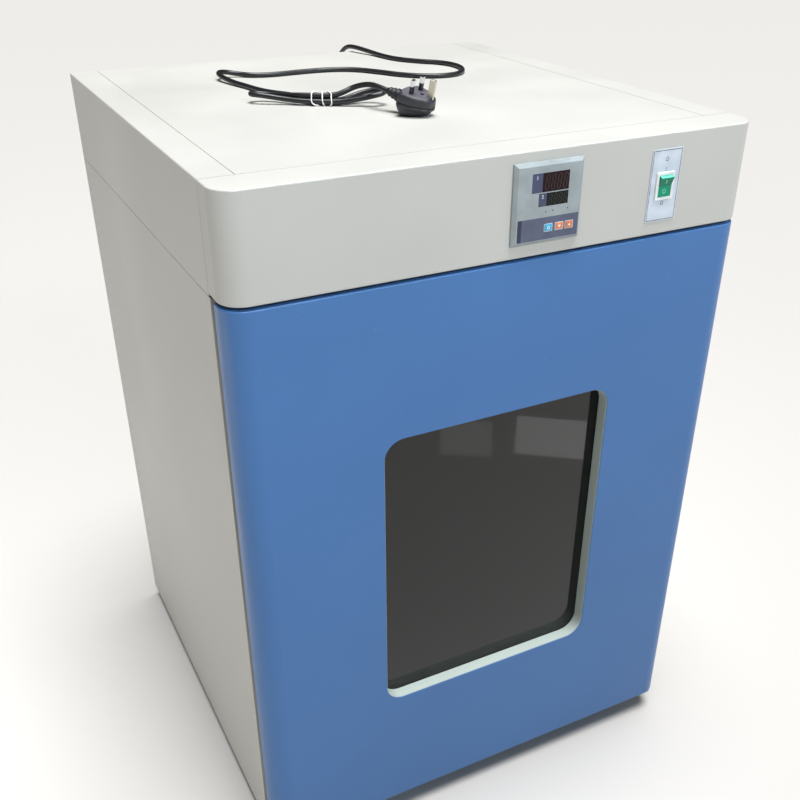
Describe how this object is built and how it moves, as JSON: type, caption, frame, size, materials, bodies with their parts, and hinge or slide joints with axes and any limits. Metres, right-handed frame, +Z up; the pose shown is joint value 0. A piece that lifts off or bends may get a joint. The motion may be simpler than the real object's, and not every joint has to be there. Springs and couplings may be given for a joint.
{
  "type": "laboratory incubator",
  "caption": "Upright laboratory incubator with a windowed hinged door, heated chamber, wire shelves, controller, rocker switch and tied mains cord.",
  "frame": {"origin": "floor level under the middle of the cabinet, the cord, its gland, tie and plug left out", "axes": "+Z up, the door and controls face -Y, +X towards the hinge side, right as seen from the front"},
  "size_m": [0.715, 0.8063, 1.062],
  "materials": {
    "grey_paint": "satin light grey powder coat with a fine orange peel",
    "blue_paint": "satin blue powder coat",
    "pale_paint": "satin pale grey",
    "stainless": "brushed stainless steel",
    "zinc_steel": "zinc plated steel",
    "chrome_wire": "bright plated",
    "aluminium": "plain",
    "glass_wool": "matte fibre",
    "black_rubber": "matte",
    "grey_rubber": "matte",
    "black_plastic": "fine texture",
    "black_cord": "soft sheen",
    "plug_plastic": "rubbery dark grey",
    "grey_plastic": "satin silver grey with printed blocks",
    "display_window": "dark gloss",
    "pale_plate": "bluish white with a printed border",
    "white_plastic": "gloss white",
    "green_plastic": "gloss green",
    "blue_key": "gloss cyan blue",
    "orange_key": "gloss orange",
    "glass": "clear",
    "white_wire": "plastic-coated wire"
  },
  "bodies": {
    "cabinet": {"feet": "black_rubber", "foot_bolts": "zinc_steel", "base_pan": "zinc_steel", "side_panel_left": "grey_paint", "side_panel_right": "grey_paint", "back_panel": "grey_paint", "front_frame": "grey_paint", "control_deck": "zinc_steel", "chamber_side_walls": "stainless", "chamber_floor": "stainless", "chamber_ceiling": "stainless", "chamber_back_wall": "stainless", "air_baffle": "stainless", "insulation_sides": "glass_wool", "insulation_bottom": "glass_wool", "insulation_top": "glass_wool", "insulation_back": "glass_wool", "heater_tube": "stainless", "fan_motor": "black_plastic", "temperature_sensor": "stainless", "shelf_runners": "stainless", "hood_side_left": "grey_paint", "hood_side_right": "grey_paint", "top_cover": "grey_paint", "hood_back": "grey_paint", "fascia": "grey_paint", "controller_bezel": "grey_plastic", "controller_displays": "display_window", "controller_case": "black_plastic", "switch_plate": "pale_plate", "switch_housing": "white_plastic", "hinge_bracket_bottom": "zinc_steel", "hinge_bracket_top": "zinc_steel", "cabinet_screws": "zinc_steel", "relay": "black_plastic", "terminal_block": "black_plastic", "wiring_loom": "black_cord", "cord_gland": "black_plastic", "power_cord": "black_cord", "cord_tie": "white_wire", "plug_body": "plug_plastic", "plug_pins": "chrome_wire"},
    "door": {"door_skin": "blue_paint", "door_liner": "stainless", "door_insulation": "glass_wool", "window_frame": "pale_paint", "inner_window_frame": "stainless", "outer_glass": "glass", "inner_glass": "glass", "glass_seals": "black_rubber", "door_gasket": "grey_rubber", "hinge_bushes": "white_plastic"},
    "fan": {"fan_shaft": "zinc_steel", "fan_impeller": "aluminium"},
    "rocker": {"power_rocker": "green_plastic"},
    "set_key": {"key_set": "blue_key"},
    "down_key": {"key_down": "orange_key"},
    "up_key": {"key_up": "orange_key"},
    "lower_shelf": {"shelf_lower": "chrome_wire"},
    "upper_shelf": {"shelf_upper": "chrome_wire"}
  },
  "joints": [
    {"name": "door_hinge", "type": "hinge", "parent": "cabinet", "child": "door", "pos_m": [0.335, -0.33594, 0.46], "axis": [0, 0, 1], "range_deg": [0, 110]},
    {"name": "rocker_pivot", "type": "hinge", "parent": "cabinet", "child": "rocker", "pos_m": [0.2145, -0.35795, 0.9512], "axis": [-1, 0, 0], "range_deg": [0, 24]},
    {"name": "fan_spin", "type": "hinge", "parent": "cabinet", "child": "fan", "pos_m": [0, 0.28, 0.459], "axis": [0, 1, 0], "continuous": true},
    {"name": "lower_shelf_slide", "type": "slide", "parent": "cabinet", "child": "lower_shelf", "axis": [0, -1, 0], "range_m": [0, 0.025]},
    {"name": "upper_shelf_slide", "type": "slide", "parent": "cabinet", "child": "upper_shelf", "axis": [0, -1, 0], "range_m": [0, 0.025]},
    {"name": "set_key_press", "type": "slide", "parent": "cabinet", "child": "set_key", "axis": [0, 1, 0], "range_m": [0, 0.0007], "stiffness_N_per_m": 600, "springref_m": -0.0005},
    {"name": "down_key_press", "type": "slide", "parent": "cabinet", "child": "down_key", "axis": [0, 1, 0], "range_m": [0, 0.0007], "stiffness_N_per_m": 600, "springref_m": -0.0005},
    {"name": "up_key_press", "type": "slide", "parent": "cabinet", "child": "up_key", "axis": [0, 1, 0], "range_m": [0, 0.0007], "stiffness_N_per_m": 600, "springref_m": -0.0005}
  ]
}
